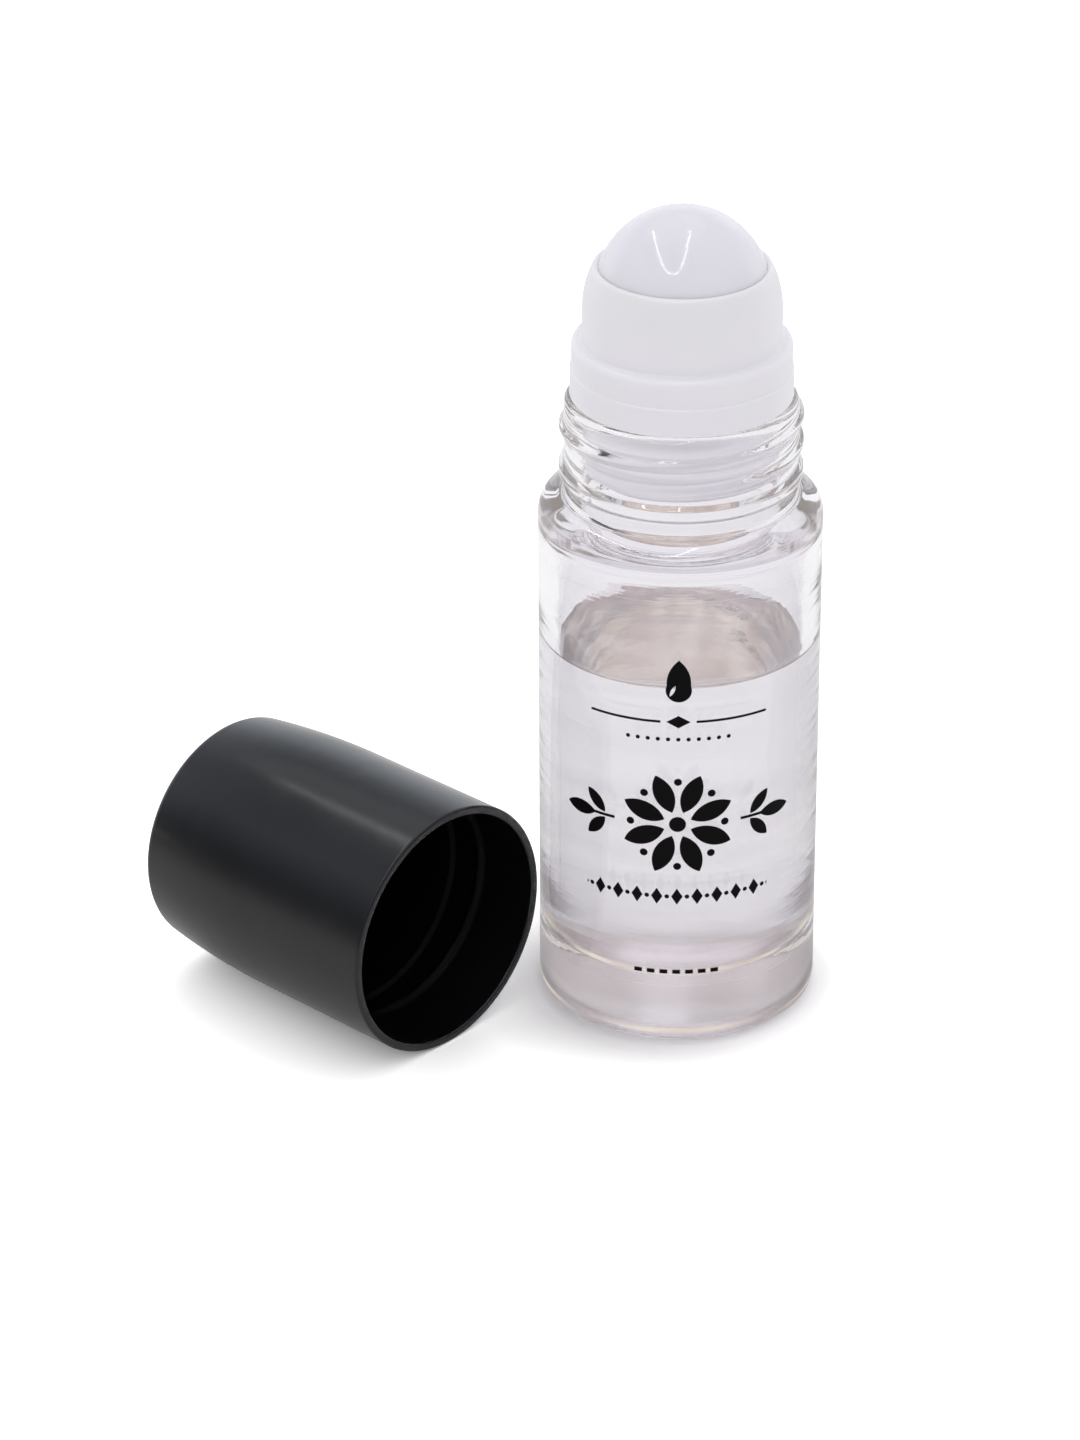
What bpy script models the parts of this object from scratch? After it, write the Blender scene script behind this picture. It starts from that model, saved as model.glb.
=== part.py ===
"""A clear glass roll-on bottle for a liquid skin adhesive, with its black screw cap lying beside it.

The glass bottle holds the adhesive. A translucent housing plugs the neck and carries the roller ball in a
spherical socket, and a clear film label is wrapped over the front. The cap's bore, its ceiling and its press
ring are worked out from the neck, the housing and the ball, so the cap would go on as the real one does.
The set stands on the plane z = 0, with the origin at the middle of its footprint.
"""

import math

import bmesh
import bpy

MM = 0.001

# Facets
ROUND_STEPS = 48
BALL_RINGS = 24
FILLET_STEP = math.radians(30)
MERGE_DISTANCE = 0.0005 * MM
SHARP_ANGLE = math.radians(35)

# Glass bottle: body
BODY_RADIUS = 17.5 * MM
BODY_WALL = 2.3 * MM
SHOULDER_HEIGHT = 68.8 * MM
SHOULDER_RADIUS = 2.8 * MM
SHOULDER_WALL = 3.2 * MM
INNER_SHOULDER_RADIUS = 2.2 * MM
BASE_THICKNESS = 7.3 * MM
INNER_BASE_RADIUS = 6.0 * MM
HEEL_RADIUS = 1.6 * MM
FOOT_WIDTH = 2.4 * MM
PUSH_UP = 0.9 * MM
PUSH_UP_RADIUS = 1.5 * MM

# Glass bottle: neck
NECK_RADIUS = 14.3 * MM
NECK_WALL = 2.2 * MM
NECK_HEIGHT = 12.8 * MM
NECK_FILLET = 0.4 * MM
THROAT_RADIUS = 1.2 * MM
RIM_INNER_RADIUS = 0.6 * MM
RIM_OUTER_RADIUS = 1.1 * MM
BEAD_RISE = 3.2 * MM
BEAD_WIDTH = 2.4 * MM
BEAD_HEIGHT = 0.65 * MM
BEAD_FILLET = 0.6 * MM
THREAD_HEIGHT = 0.65 * MM

# Roller ball
BALL_RADIUS = 10.7 * MM
BALL_CLEARANCE = 0.15 * MM
BALL_RISE = 13.1 * MM

# Roller housing
SEAT_GAP = 0.1 * MM
PLUG_CLEARANCE = 0.15 * MM
PLUG_DEPTH = 9.0 * MM
PLUG_WALL = 1.3 * MM
PLUG_CHAMFER = 0.6 * MM
RIB_COUNT = 3
RIB_HEIGHT = 0.25 * MM
RIB_WIDTH = 0.9 * MM
COLLAR_INSET = 0.7 * MM
COLLAR_HEIGHT = 7.2 * MM
COLLAR_FILLET = 0.8 * MM
COLLAR_STEP_HEIGHT = 3.7 * MM
COLLAR_STEP = 0.2 * MM
LIP_RISE = 3.5 * MM
LIP_FILLET = 0.25 * MM
DOME_WALL = 1.25 * MM
DOME_DROP = 1.9 * MM
DOME_ROOT_FILLET = 0.5 * MM
CUP_WALL = 1.2 * MM
WEB_THICKNESS = 1.2 * MM
FEED_HOLE_RADIUS = 4.0 * MM
CUP_ARC_STEPS = 7
DOME_ARC_STEPS = 4

# Screw cap
CAP_WALL = 1.12 * MM
CAP_STRAIGHT = 22.0 * MM
CAP_TAPER = 1.28 * MM
CAP_SIDE_STEPS = 5
CAP_THREAD_CLEARANCE = 0.2 * MM
CAP_SHOULDER_GAP = 0.3 * MM
CAP_TOP_WALL = 1.7 * MM
CAP_TOP_RADIUS = 1.0 * MM
CAP_RIM_RADIUS = 0.35 * MM
CAP_BORE_PAST_RIM = 0.9 * MM
CAP_INNER_WALL = 1.6 * MM
CAP_STEP_CHAMFER = 0.5 * MM
CAP_CEILING_RADIUS = 0.8 * MM
CAP_CEILING_GAP = 1.1 * MM
PRESS_RING_RADIUS = 4.6 * MM
PRESS_RING_WALL = 1.0 * MM
PRESS_RING_GAP = 0.1 * MM

# Label and contents
LABEL_THICKNESS = 0.12 * MM
LABEL_GAP = 0.1 * MM
LABEL_WIDTH = 34.6 * MM
LABEL_BOTTOM = 8.5 * MM
LABEL_BELOW_SHOULDER = 6.8 * MM
LABEL_CORNER = 1.5 * MM
LABEL_COLUMNS = 20
LABEL_CORNER_COLUMNS = 4
LABEL_DIRECTION = math.radians(-48.7)
FILL_LEVEL = 49.0 * MM
FILL_GAP = 0.1 * MM

# Where the cap lies beside the bottle, its axis along X and its mouth towards +X
CAP_MOUTH_BACK = 9.65 * MM
CAP_SIDE_GAP = 0.8 * MM

# Heights and radii that several pieces share
RIM_HEIGHT = SHOULDER_HEIGHT + NECK_HEIGHT
NECK_BORE = NECK_RADIUS - NECK_WALL
COLLAR_RADIUS = NECK_RADIUS - COLLAR_INSET
BALL_HEIGHT = RIM_HEIGHT + BALL_RISE
SOCKET_RADIUS = BALL_RADIUS + BALL_CLEARANCE
LABEL_INSIDE = BODY_RADIUS + LABEL_GAP
LABEL_OUTSIDE = LABEL_INSIDE + LABEL_THICKNESS
LABEL_TOP = SHOULDER_HEIGHT - LABEL_BELOW_SHOULDER
CAP_BORE = NECK_RADIUS + THREAD_HEIGHT + CAP_THREAD_CLEARANCE
CAP_RADIUS = CAP_BORE + CAP_WALL
CAP_MOUTH_HEIGHT = SHOULDER_HEIGHT + CAP_SHOULDER_GAP
CAP_BORE_DEPTH = RIM_HEIGHT + CAP_BORE_PAST_RIM - CAP_MOUTH_HEIGHT
CAP_CEILING = BALL_HEIGHT + BALL_RADIUS + CAP_CEILING_GAP - CAP_MOUTH_HEIGHT
CAP_LENGTH = CAP_CEILING + CAP_TOP_WALL

# The cap's mouth rim stands clear of the body, so its axis follows from the two radii
CAP_REACH = BODY_RADIUS + CAP_SIDE_GAP
CAP_AXIS_ASIDE = CAP_RADIUS + math.sqrt(CAP_REACH**2 - CAP_MOUTH_BACK**2)
BOTTLE_X = (CAP_LENGTH + CAP_MOUTH_BACK - LABEL_OUTSIDE) / 2
BOTTLE_Y = (CAP_AXIS_ASIDE + CAP_RADIUS - BODY_RADIUS) / 2


def clear_scene():
    for obj in list(bpy.data.objects):
        bpy.data.objects.remove(obj)


def material(name, colour, roughness, transmission=0.0):
    """A Principled material in the piece's own colour."""
    made = bpy.data.materials.new(name)
    made.use_nodes = True
    shader = made.node_tree.nodes["Principled BSDF"]
    shader.inputs["Base Color"].default_value = (*colour, 1.0)
    shader.inputs["Roughness"].default_value = roughness
    shader.inputs["Metallic"].default_value = 0.0
    shader.inputs["Transmission Weight"].default_value = transmission
    made.diffuse_color = (*colour, 1.0)
    return made


def new_object(name, bm, finish):
    """The bmesh as a smooth-shaded object with outward faces."""
    bmesh.ops.recalc_face_normals(bm, faces=bm.faces)
    mesh = bpy.data.meshes.new(name)
    bm.to_mesh(mesh)
    bm.free()
    mesh.shade_smooth()
    mesh.set_sharp_from_angle(angle=SHARP_ANGLE)
    mesh.materials.append(finish)
    obj = bpy.data.objects.new(name, mesh)
    bpy.context.scene.collection.objects.link(obj)
    return obj


def place(name, location, rotation=(0, 0, 0)):
    """An empty that pieces are parented to."""
    empty = bpy.data.objects.new(name, None)
    empty.location = location
    empty.rotation_euler = rotation
    bpy.context.scene.collection.objects.link(empty)
    return empty


def fillet_points(before, corner, after, radius, back_share=0.5, ahead_share=0.5):
    """Points of the arc that rounds one corner. It takes at most those shares of the edges beside it."""
    r, z = corner
    back = (before[0] - r, before[1] - z)
    ahead = (after[0] - r, after[1] - z)
    back_length = math.hypot(*back)
    ahead_length = math.hypot(*ahead)
    back = (back[0] / back_length, back[1] / back_length)
    ahead = (ahead[0] / ahead_length, ahead[1] / ahead_length)
    between = math.acos(max(-1, min(1, back[0] * ahead[0] + back[1] * ahead[1])))
    reach = radius / math.tan(between / 2)
    reach = min(reach, back_length * back_share, ahead_length * ahead_share)
    radius = reach * math.tan(between / 2)
    middle = (back[0] + ahead[0], back[1] + ahead[1])
    to_centre = math.hypot(reach, radius) / math.hypot(*middle)
    cr = r + middle[0] * to_centre
    cz = z + middle[1] * to_centre
    first = math.atan2(z + back[1] * reach - cz, r + back[0] * reach - cr)
    last = math.atan2(z + ahead[1] * reach - cz, r + ahead[0] * reach - cr)
    turn = (last - first + math.pi) % (2 * math.pi) - math.pi
    steps = max(2, round(abs(turn) / FILLET_STEP))
    angles = [first + turn * k / steps for k in range(steps + 1)]
    return [(cr + radius * math.cos(a), cz + radius * math.sin(a)) for a in angles]


def rounded(corners):
    """Outline points from corners (radius, height, fillet). Two fillets on one edge share it by size."""
    points = [corners[0][:2]]
    for before, corner, after in zip(corners, corners[1:], corners[2:]):
        radius = corner[2]
        if radius:
            back_share = radius / (radius + before[2])
            ahead_share = radius / (radius + after[2])
            points += fillet_points(before[:2], corner[:2], after[:2], radius, back_share, ahead_share)
        else:
            points.append(corner[:2])
    points.append(corners[-1][:2])
    return points


def arc(centre_height, radius, first, last, steps):
    """Points on a circle about a point of the axis, from one angle above the horizontal to another."""
    angles = [first + (last - first) * k / steps for k in range(steps + 1)]
    return [(radius * math.cos(a), centre_height + radius * math.sin(a)) for a in angles]


def turned(name, points, finish, closed=False):
    """The outline spun once round the Z axis. An open outline starts and ends on the axis."""
    bm = bmesh.new()
    verts = [bm.verts.new((r, 0, z)) for r, z in points]
    pairs = zip(verts, verts[1:] + verts[:1] if closed else verts[1:])
    edges = [bm.edges.new(pair) for pair in pairs]
    bmesh.ops.spin(
        bm,
        geom=verts + edges,
        cent=(0, 0, 0),
        axis=(0, 0, 1),
        angle=2 * math.pi,
        steps=ROUND_STEPS,
        use_merge=True,
    )
    bmesh.ops.remove_doubles(bm, verts=bm.verts, dist=MERGE_DISTANCE)
    return new_object(name, bm, finish)


def glass_bottle(finish):
    """Heavy base with a push-up and a foot ring, round shoulder, and a neck with a bead."""
    inside = BODY_RADIUS - BODY_WALL
    inner_shoulder = SHOULDER_HEIGHT - SHOULDER_WALL
    foot_inside = BODY_RADIUS - HEEL_RADIUS - FOOT_WIDTH
    bead_radius = NECK_RADIUS + BEAD_HEIGHT
    bead_low = SHOULDER_HEIGHT + BEAD_RISE - BEAD_WIDTH / 2
    bead_high = bead_low + BEAD_WIDTH
    outline = rounded(
        [
            (0, PUSH_UP, 0),
            (foot_inside - PUSH_UP, PUSH_UP, PUSH_UP_RADIUS),
            (foot_inside, 0, 0),
            (BODY_RADIUS, 0, HEEL_RADIUS),
            (BODY_RADIUS, SHOULDER_HEIGHT, SHOULDER_RADIUS),
            (NECK_RADIUS, SHOULDER_HEIGHT, NECK_FILLET),
            (NECK_RADIUS, bead_low, 0),
            (bead_radius, bead_low + BEAD_HEIGHT, BEAD_FILLET),
            (bead_radius, bead_high - BEAD_HEIGHT, BEAD_FILLET),
            (NECK_RADIUS, bead_high, 0),
            (NECK_RADIUS, RIM_HEIGHT, RIM_OUTER_RADIUS),
            (NECK_BORE, RIM_HEIGHT, RIM_INNER_RADIUS),
            (NECK_BORE, inner_shoulder, THROAT_RADIUS),
            (inside, inner_shoulder, INNER_SHOULDER_RADIUS),
            (inside, BASE_THICKNESS, INNER_BASE_RADIUS),
            (0, BASE_THICKNESS, 0),
        ]
    )
    return turned("glass_bottle", outline, finish)


def adhesive_fill(finish):
    """The liquid, a little clear of the glass all round."""
    radius = BODY_RADIUS - BODY_WALL - FILL_GAP
    bottom = BASE_THICKNESS + FILL_GAP
    outline = rounded(
        [
            (0, bottom, 0),
            (radius, bottom, INNER_BASE_RADIUS),
            (radius, FILL_LEVEL, 0),
            (0, FILL_LEVEL, 0),
        ]
    )
    return turned("adhesive_fill", outline, finish)


def label_film(finish):
    """A clear film with round corners, wrapped on the glass as columns from one side edge to the other."""
    corner_turns = [math.pi / 2 * k / LABEL_CORNER_COLUMNS for k in range(LABEL_CORNER_COLUMNS)]
    near_side = [LABEL_CORNER * (1 - math.cos(turn)) for turn in corner_turns]
    far_side = [LABEL_WIDTH - s for s in reversed(near_side)]
    flat = LABEL_WIDTH - 2 * LABEL_CORNER
    middle = [LABEL_CORNER + flat * k / LABEL_COLUMNS for k in range(LABEL_COLUMNS + 1)]
    bm = bmesh.new()
    columns = []
    for s in near_side + middle + far_side:
        inset = max(0, LABEL_CORNER - min(s, LABEL_WIDTH - s))
        drop = LABEL_CORNER - math.sqrt(LABEL_CORNER**2 - inset**2)
        angle = LABEL_DIRECTION + (s - LABEL_WIDTH / 2) / LABEL_OUTSIDE
        x, y = math.cos(angle), math.sin(angle)
        low, high = LABEL_BOTTOM + drop, LABEL_TOP - drop
        corners = ((LABEL_OUTSIDE, low), (LABEL_OUTSIDE, high), (LABEL_INSIDE, high), (LABEL_INSIDE, low))
        columns.append([bm.verts.new((r * x, r * y, z)) for r, z in corners])
    for left, right in zip(columns, columns[1:]):
        for i, j in ((0, 1), (1, 2), (2, 3), (3, 0)):
            bm.faces.new((left[i], right[i], right[j], left[j]))
    bm.faces.new(columns[0])
    bm.faces.new(columns[-1])
    return new_object("label_film", bm, finish)


def roller_housing(finish):
    """Plug with sealing ribs, stepped collar, and a cup whose lip reaches over the ball's equator."""
    seat = RIM_HEIGHT + SEAT_GAP
    collar_top = seat + COLLAR_HEIGHT
    collar_step = seat + COLLAR_STEP_HEIGHT
    plug_radius = NECK_BORE - PLUG_CLEARANCE - RIB_HEIGHT
    plug_bore = plug_radius - PLUG_WALL
    plug_bottom = seat - PLUG_DEPTH
    rib_spacing = (PLUG_DEPTH - PLUG_CHAMFER) / (RIB_COUNT + 1)
    dome_radius = SOCKET_RADIUS + DOME_WALL
    dome_height = BALL_HEIGHT - DOME_DROP
    cup_radius = SOCKET_RADIUS + CUP_WALL
    web_low = collar_top - WEB_THICKNESS
    cup_at_web = math.sqrt(cup_radius**2 - (BALL_HEIGHT - web_low) ** 2)
    cup_edge = min(cup_at_web, plug_bore)

    feed_inside = -math.acos(FEED_HOLE_RADIUS / SOCKET_RADIUS)
    feed_outside = -math.acos(FEED_HOLE_RADIUS / cup_radius)
    lip_inside = math.asin(LIP_RISE / SOCKET_RADIUS)
    lip_outside = math.asin((LIP_RISE + DOME_DROP) / dome_radius)

    socket = arc(BALL_HEIGHT, SOCKET_RADIUS, feed_inside, lip_inside, CUP_ARC_STEPS)
    dome = arc(dome_height, dome_radius, lip_outside, 0, DOME_ARC_STEPS)
    lip_edge = fillet_points(socket[-1], dome[0], dome[1], LIP_FILLET)
    collar = rounded(
        [
            (dome_radius, dome_height, 0),
            (dome_radius, collar_top, DOME_ROOT_FILLET),
            (COLLAR_RADIUS - COLLAR_STEP, collar_top, COLLAR_FILLET),
            (COLLAR_RADIUS - COLLAR_STEP, collar_step, 0),
            (COLLAR_RADIUS, collar_step - COLLAR_STEP, 0),
            (COLLAR_RADIUS, seat, 0),
            (plug_radius, seat, 0),
        ]
    )
    ribs = []
    for k in range(RIB_COUNT):
        middle = seat - rib_spacing * (k + 1)
        ribs.append((plug_radius, middle + RIB_WIDTH / 2))
        ribs.append((plug_radius + RIB_HEIGHT, middle))
        ribs.append((plug_radius, middle - RIB_WIDTH / 2))
    foot = [
        (plug_radius, plug_bottom + PLUG_CHAMFER),
        (plug_radius - PLUG_CHAMFER, plug_bottom),
        (plug_bore, plug_bottom),
    ]
    if cup_at_web < plug_bore:
        foot.append((plug_bore, web_low))
    cup_start = -math.acos(cup_edge / cup_radius)
    underside = arc(BALL_HEIGHT, cup_radius, cup_start, feed_outside, CUP_ARC_STEPS)
    outline = socket + lip_edge + dome[1:-1] + collar + ribs + foot + underside
    return turned("roller_housing", outline, finish, closed=True)


def roller_ball(finish):
    """The ball, with its origin at its own centre, where it turns."""
    bm = bmesh.new()
    bmesh.ops.create_uvsphere(bm, u_segments=ROUND_STEPS, v_segments=BALL_RINGS, radius=BALL_RADIUS)
    ball = new_object("roller_ball", bm, finish)
    ball.location.z = BALL_HEIGHT
    return ball


def cap_side(height):
    """Radius of the cap's side at a height above its mouth: straight at first, then drawn in along an arc."""
    past_straight = max(0, height - CAP_STRAIGHT)
    return CAP_RADIUS - CAP_TAPER * (past_straight / (CAP_LENGTH - CAP_STRAIGHT)) ** 2


def screw_cap(finish):
    """The cap about its own axis, with its mouth at z = 0 and its closed end at the top."""
    ring_outside = PRESS_RING_RADIUS + PRESS_RING_WALL
    ball_drop = BALL_RADIUS - math.sqrt(BALL_RADIUS**2 - PRESS_RING_RADIUS**2)
    ring_tip = CAP_CEILING - CAP_CEILING_GAP - ball_drop + PRESS_RING_GAP
    inner_side = []
    outer_side = []
    for k in range(CAP_SIDE_STEPS):
        inside = CAP_STRAIGHT + (CAP_CEILING - CAP_STRAIGHT) * k / CAP_SIDE_STEPS
        outside = CAP_STRAIGHT + (CAP_LENGTH - CAP_STRAIGHT) * k / CAP_SIDE_STEPS
        inner_side.append((cap_side(inside) - CAP_INNER_WALL, inside, 0))
        outer_side.append((cap_side(outside), outside, 0))
    ceiling = [
        (0, CAP_CEILING, 0),
        (PRESS_RING_RADIUS, CAP_CEILING, 0),
        (PRESS_RING_RADIUS, ring_tip, 0),
        (ring_outside, ring_tip, 0),
        (ring_outside, CAP_CEILING, 0),
        (cap_side(CAP_CEILING) - CAP_INNER_WALL, CAP_CEILING, CAP_CEILING_RADIUS),
    ]
    mouth = [
        (CAP_RADIUS - CAP_INNER_WALL, CAP_BORE_DEPTH + CAP_STEP_CHAMFER, 0),
        (CAP_BORE, CAP_BORE_DEPTH, 0),
        (CAP_BORE, 0, CAP_RIM_RADIUS),
        (CAP_RADIUS, 0, CAP_RIM_RADIUS),
    ]
    closed_end = [(cap_side(CAP_LENGTH), CAP_LENGTH, CAP_TOP_RADIUS), (0, CAP_LENGTH, 0)]
    outline = rounded(ceiling + inner_side[::-1] + mouth + outer_side + closed_end)
    return turned("screw_cap", outline, finish)


def main():
    clear_scene()
    glass = material("clear glass", (0.93, 0.91, 0.92), 0.03, transmission=1.0)
    liquid = material("clear adhesive", (0.95, 0.93, 0.90), 0.05, transmission=1.0)
    film = material("clear label film", (0.97, 0.97, 0.98), 0.15, transmission=0.9)
    natural = material("natural polypropylene", (0.86, 0.86, 0.89), 0.35)
    milky = material("milky ball plastic", (0.88, 0.87, 0.91), 0.15)
    black = material("black polypropylene", (0.02, 0.02, 0.024), 0.32)

    bottle_axis = place("bottle_axis", (BOTTLE_X, BOTTLE_Y, 0))
    glass_bottle(glass).parent = bottle_axis
    adhesive_fill(liquid).parent = bottle_axis
    label_film(film).parent = bottle_axis
    roller_housing(natural).parent = bottle_axis
    roller_ball(milky).parent = bottle_axis

    mouth = (BOTTLE_X - CAP_MOUTH_BACK, BOTTLE_Y - CAP_AXIS_ASIDE, CAP_RADIUS)
    cap_axis = place("cap_axis", mouth, rotation=(0, -math.pi / 2, 0))
    screw_cap(black).parent = cap_axis


main()
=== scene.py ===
# %% [markdown]
# A clear glass roll-on bottle of liquid skin adhesive stands with its ball open, and its black
# screw cap lies beside it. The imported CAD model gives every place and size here. Its solids are
# coarse and have no thread, so each piece is turned again with finer steps, on the same axis and
# inside the same box, and then stands for its node.

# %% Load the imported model
import math
import bmesh
import bpy
from mathutils import Matrix, Vector, noise


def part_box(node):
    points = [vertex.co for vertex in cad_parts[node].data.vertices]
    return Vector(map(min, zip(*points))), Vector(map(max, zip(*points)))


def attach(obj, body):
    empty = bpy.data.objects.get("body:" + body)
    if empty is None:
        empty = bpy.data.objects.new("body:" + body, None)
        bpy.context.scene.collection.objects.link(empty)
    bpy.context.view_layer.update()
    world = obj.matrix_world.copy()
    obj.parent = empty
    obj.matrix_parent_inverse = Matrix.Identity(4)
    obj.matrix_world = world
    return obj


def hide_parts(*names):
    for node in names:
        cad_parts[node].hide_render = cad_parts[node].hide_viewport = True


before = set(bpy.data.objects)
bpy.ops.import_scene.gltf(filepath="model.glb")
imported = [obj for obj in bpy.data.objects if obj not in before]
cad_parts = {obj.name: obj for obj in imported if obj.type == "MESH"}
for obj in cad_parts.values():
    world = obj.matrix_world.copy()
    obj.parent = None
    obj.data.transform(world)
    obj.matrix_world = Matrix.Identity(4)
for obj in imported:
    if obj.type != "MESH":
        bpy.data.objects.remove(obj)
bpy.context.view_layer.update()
MM = 0.001

# %% [markdown]
# The camera stands where the photographer stood. Its place was found by fitting the rings of the
# bottle and of the cap to the picture. The fit was made with the bottle's axis as origin and the
# view along +Y, so the result is turned about the bottle's axis into the model's own frame. A long
# lens keeps the bottle's sides nearly parallel.

# %% Set up the camera
glass_low, glass_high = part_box("glass_bottle")
bottle_axis = Vector(((glass_low.x + glass_high.x) / 2, (glass_low.y + glass_high.y) / 2, 0))
VIEW_TURN = math.radians(41.3)
CAMERA_PLACE = Vector((0, -550.851, 328.776)) * MM
CAMERA_YAW = -0.0315
CAMERA_PITCH = 0.4875
CAMERA_ROLL = -0.0053
LENS = 124.4
SENSOR = 36

as_seen = Matrix.Translation(bottle_axis) @ Matrix.Rotation(VIEW_TURN, 4, "Z")


def camera_matrix():
    """The camera's place and axes in the model's frame."""
    flat = math.cos(CAMERA_PITCH)
    forward = Vector((
        math.sin(CAMERA_YAW) * flat, math.cos(CAMERA_YAW) * flat, -math.sin(CAMERA_PITCH)))
    level = Vector((math.cos(CAMERA_YAW), -math.sin(CAMERA_YAW), 0))
    above = level.cross(forward)
    right = math.cos(CAMERA_ROLL) * level + math.sin(CAMERA_ROLL) * above
    up = math.cos(CAMERA_ROLL) * above - math.sin(CAMERA_ROLL) * level
    axes = Matrix((right, up, -forward)).transposed().to_4x4()
    return as_seen @ Matrix.Translation(CAMERA_PLACE) @ axes


camera_data = bpy.data.cameras.new("photo_camera")
camera_data.lens = LENS
camera_data.sensor_width = SENSOR
camera_data.clip_start = 10 * MM
camera = bpy.data.objects.new("photo_camera", camera_data)
bpy.context.scene.collection.objects.link(camera)
camera.matrix_world = camera_matrix()
bpy.context.scene.camera = camera
bpy.context.scene.view_settings.view_transform = "Standard"
print("camera at", [round(c, 4) for c in camera.matrix_world.translation])

# %% [markdown]
# Shader maths reads best as plain arithmetic. A Signal wraps one output of a node, and Python's
# operators on it add the Math nodes. Two shapes come back all the time: a ramp turns a measure
# into a soft mask, and contrast spreads a noise, which keeps close to its middle. A Finish is one
# material's node tree, with a single method for every other node: it takes the node's type, its
# settings, and the values or links of its sockets.

# %% Write shader maths as Python expressions


class Signal:
    """One output socket that Python's operators can work on."""

    def __init__(self, finish, socket):
        self.finish = finish
        self.socket = socket

    def math(self, operation, *values, clamp=False):
        settings = {"operation": operation, "use_clamp": clamp}
        return self.finish.node("ShaderNodeMath", settings, dict(enumerate(values)))

    def __add__(self, other):
        return self.math("ADD", self, other)

    __radd__ = __add__

    def __sub__(self, other):
        return self.math("SUBTRACT", self, other)

    def __rsub__(self, other):
        return self.math("SUBTRACT", other, self)

    def __mul__(self, other):
        return self.math("MULTIPLY", self, other)

    __rmul__ = __mul__

    def __truediv__(self, other):
        return self.math("DIVIDE", self, other)

    def __rtruediv__(self, other):
        return self.math("DIVIDE", other, self)

    def __pow__(self, other):
        return self.math("POWER", self, other)

    def __mod__(self, other):
        return self.math("FLOORED_MODULO", self, other)

    def __abs__(self):
        return self.math("ABSOLUTE", self)

    def low(self, other):
        return self.math("MINIMUM", self, other)

    def high(self, other):
        return self.math("MAXIMUM", self, other)

    def clamped(self):
        return self.math("ADD", self, 0, clamp=True)

    def ramp(self, start, end):
        """0 at start, 1 at end, and a straight line between them. The end may be the lower one."""
        return ((self - start) / (end - start)).clamped()

    def contrast(self, factor):
        """Spread a noise out from its middle."""
        return ((self - 0.5) * factor + 0.5).clamped()


class Finish:
    """The node tree of one material, or of the world."""

    def __init__(self, name, world=False):
        self.material = bpy.data.worlds.new(name) if world else bpy.data.materials.new(name)
        self.material.use_nodes = True
        self.tree = self.material.node_tree
        self.tree.nodes.clear()
        kind = "ShaderNodeOutputWorld" if world else "ShaderNodeOutputMaterial"
        self.output = self.tree.nodes.new(kind)

    def node(self, kind, settings=None, inputs=None, output=0):
        made = self.tree.nodes.new(kind)
        for name, value in (settings or {}).items():
            if name == "stops":
                self.set_stops(made.color_ramp, value)
            else:
                setattr(made, name, value)
        for name, value in (inputs or {}).items():
            if isinstance(value, Signal):
                self.tree.links.new(value.socket, made.inputs[name])
            else:
                made.inputs[name].default_value = value
        return Signal(self, made.outputs[output])

    def set_stops(self, ramp, stops):
        for element, (position, colour) in zip(ramp.elements, (stops[0], stops[-1])):
            element.position = position
            element.color = (*colour, 1)
        for position, colour in stops[1:-1]:
            ramp.elements.new(position).color = (*colour, 1)

    def place(self):
        """Where a point is on the piece, in its own axes, in metres."""
        return self.node("ShaderNodeTexCoord", output="Object")

    def height(self):
        """How high a point is on the piece."""
        return self.node("ShaderNodeSeparateXYZ", inputs={"Vector": self.place()}, output="Z")

    def vector(self, operation, *vectors):
        """Vector maths whose result is a number."""
        inputs = dict(enumerate(vectors))
        return self.node("ShaderNodeVectorMath", {"operation": operation}, inputs, output="Value")

    def stretched(self, scale):
        return self.node("ShaderNodeMapping", inputs={"Vector": self.place(), "Scale": scale})

    def noise(self, scale, detail=3, at=None):
        inputs = {"Vector": at or self.place(), "Scale": scale, "Detail": detail}
        return self.node("ShaderNodeTexNoise", inputs=inputs, output="Fac")

    def blend(self, factor, first, second):
        """Mix two colours, each given as numbers or as a Signal."""
        colours = [c if isinstance(c, Signal) else (*c, 1) for c in (first, second)]
        inputs = {"Factor": factor, 6: colours[0], 7: colours[1]}
        return self.node("ShaderNodeMix", {"data_type": "RGBA"}, inputs, output=2)

    def bump(self, height, strength, distance):
        inputs = {"Height": height, "Strength": strength, "Distance": distance}
        return self.node("ShaderNodeBump", inputs=inputs)

    def plastic(self, **sockets):
        """A Principled shader: underscores in the names stand for spaces."""
        inputs = {name.replace("_", " "): value for name, value in sockets.items()}
        inputs.setdefault("Roughness", 0.5)
        return self.node("ShaderNodeBsdfPrincipled", inputs=inputs)

    def shows(self, shader):
        self.tree.links.new(shader.socket, self.output.inputs["Surface"])
        return self.material


print("shader helpers ready")

# %% [markdown]
# Clear glass and black plastic show the room more than themselves, so the room matters as much as
# their finish. In the picture the ground is pure white, but the glass shows what really stood
# round the set: low warm-grey walls, a pale strip above them, a pinkish upper wall and a white
# ceiling. The camera's own rays see plain white. Rays that reach the room off a gloss or straight
# through glass see it as a ramp from the horizon up. Light that lands on a matt surface, also
# through glass, sees an even white room, so that colours render about as they are written. A low
# pale gap stands straight behind the set, since the shoulder's front shows it and would be dark
# without it. All of this varies a little from place to place, as furniture and windows would make
# it.

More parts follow.
